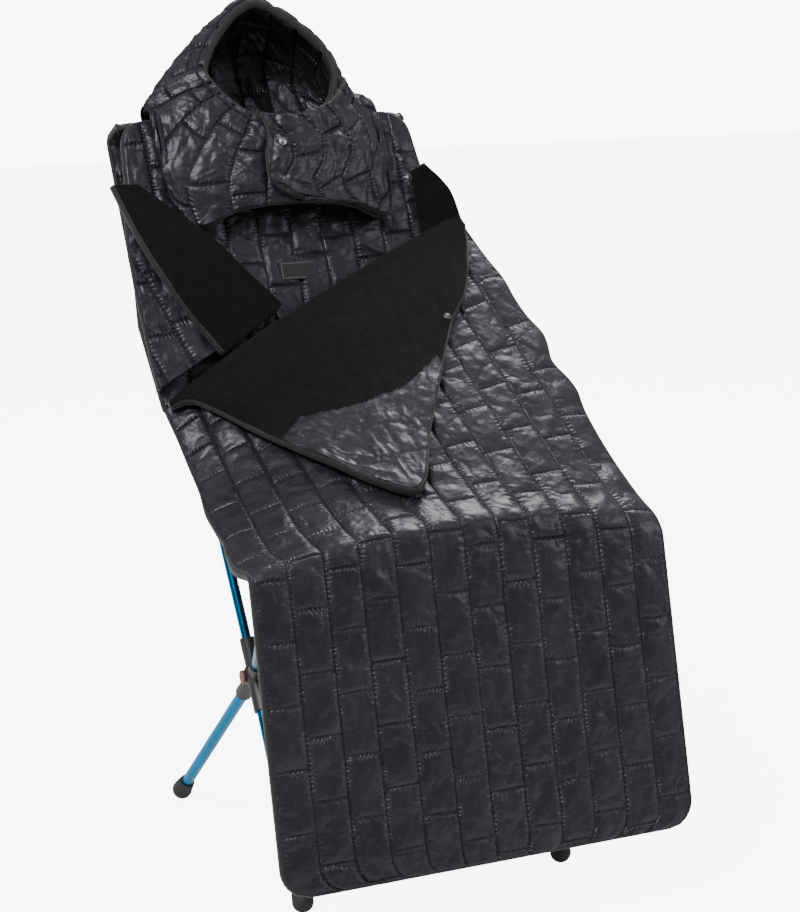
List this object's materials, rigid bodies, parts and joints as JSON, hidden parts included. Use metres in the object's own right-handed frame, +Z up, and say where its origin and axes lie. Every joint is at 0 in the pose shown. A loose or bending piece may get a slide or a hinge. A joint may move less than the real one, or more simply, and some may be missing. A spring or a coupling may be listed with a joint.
{
  "type": "hooded wrap blanket on folding chair",
  "caption": "Quilted, hooded wrap blanket with fleece-lined front edges and a hanging leg cover, buttoned round a tall-backed folding tube chair.",
  "frame": {"origin": "on the floor, under the centre of the whole piece", "axes": "+Z up, the chair faces -Y, +X is to the right seen from the front"},
  "size_m": [0.584, 0.8589, 1.1428],
  "materials": {
    "blue_tube": "anodised, satin",
    "ferrule_metal": "plain",
    "hub_pin": "moulded, satin",
    "hub_resin": "moulded, fine grain",
    "foot_rubber": "matt",
    "sling_cloth": "plain-woven polyester",
    "shock_cord": "braided",
    "binding_tape": "grosgrain tape",
    "woven_patch": "plain woven patch",
    "fleece": "brushed pile",
    "snap_metal": "dark satin",
    "quilted_nylon": "shiny quilted nylon"
  },
  "bodies": {
    "chair_frame": {"hub_left": "hub_resin", "hub_right": "hub_resin", "hub_pin_left": "hub_pin", "hub_pin_right": "hub_pin", "cross_tube": "blue_tube", "seat_pole_left": "blue_tube", "seat_pole_right": "blue_tube", "back_pole_lower_left": "blue_tube", "back_pole_lower_right": "blue_tube", "back_pole_upper_left": "blue_tube", "back_pole_upper_right": "blue_tube", "ferrule_left": "ferrule_metal", "ferrule_right": "ferrule_metal", "tip_seat_left": "hub_resin", "tip_seat_right": "hub_resin", "tip_back_left": "hub_resin", "tip_back_right": "hub_resin", "corner_pocket_seat_left": "sling_cloth", "corner_pocket_seat_right": "sling_cloth", "corner_pocket_back_left": "sling_cloth", "corner_pocket_back_right": "sling_cloth", "leg_shock_cords": "shock_cord", "back_panel": "quilted_nylon", "back_binding": "binding_tape", "label_patch": "woven_patch", "back_sleeve": "quilted_nylon", "seat_liner": "fleece", "sling": "sling_cloth", "front_cover": "quilted_nylon", "left_wing": "quilted_nylon", "left_lapel": "quilted_nylon", "left_lapel_fleece": "fleece", "right_wing": "fleece", "right_side": "quilted_nylon", "back_snap_left": "snap_metal", "back_snap_right": "snap_metal"},
    "front_leg_left": {"leg_front_left": "blue_tube", "foot_front_left": "foot_rubber"},
    "front_leg_right": {"leg_front_right": "blue_tube", "foot_front_right": "foot_rubber"},
    "rear_leg_left": {"leg_rear_left": "blue_tube", "foot_rear_left": "foot_rubber"},
    "rear_leg_right": {"leg_rear_right": "blue_tube", "foot_rear_right": "foot_rubber"},
    "leg_cover": {"leg_panel": "quilted_nylon", "leg_binding": "binding_tape"},
    "hood": {"hood_crown": "quilted_nylon", "hood_cape": "quilted_nylon", "hood_snap_studs": "snap_metal"},
    "hood_closure": {"hood_flap": "quilted_nylon", "hood_snap_upper": "snap_metal", "hood_snap_lower": "snap_metal"},
    "front_closure": {"front_flap": "quilted_nylon", "front_flap_fleece": "fleece", "flap_snap": "snap_metal"}
  },
  "joints": [
    {"name": "front_leg_left_pull", "type": "slide", "parent": "chair_frame", "child": "front_leg_left", "axis": [-0.0536, -0.6211, -0.7819], "range_m": [0, 0.03], "stiffness_N_per_m": 100, "springref_m": -0.05},
    {"name": "front_leg_right_pull", "type": "slide", "parent": "chair_frame", "child": "front_leg_right", "axis": [0.0536, -0.6211, -0.7819], "range_m": [0, 0.03], "stiffness_N_per_m": 100, "springref_m": -0.05},
    {"name": "rear_leg_left_pull", "type": "slide", "parent": "chair_frame", "child": "rear_leg_left", "axis": [-0.0481, 0.7105, -0.702], "range_m": [0, 0.03], "stiffness_N_per_m": 100, "springref_m": -0.05},
    {"name": "rear_leg_right_pull", "type": "slide", "parent": "chair_frame", "child": "rear_leg_right", "axis": [0.0481, 0.7105, -0.702], "range_m": [0, 0.03], "stiffness_N_per_m": 100, "springref_m": -0.05},
    {"name": "leg_cover_swing", "type": "hinge", "parent": "chair_frame", "child": "leg_cover", "pos_m": [0, -0.333, 0.468], "axis": [-1, 0, 0], "range_deg": [0, 70]},
    {"name": "hood_tip", "type": "hinge", "parent": "chair_frame", "child": "hood", "pos_m": [0, 0.36694, 0.94901], "axis": [-1, 0, 0], "range_deg": [0, 40]},
    {"name": "hood_closure_open", "type": "hinge", "parent": "hood", "child": "hood_closure", "pos_m": [0.15272, 0.25431, 0.92334], "axis": [0, 0.4741, 0.8805], "range_deg": [0, 100]},
    {"name": "front_closure_open", "type": "hinge", "parent": "chair_frame", "child": "front_closure", "pos_m": [0.25, 0.15733, 0.8529], "axis": [-0.9004, -0.1666, -0.4019], "range_deg": [0, 100]}
  ]
}
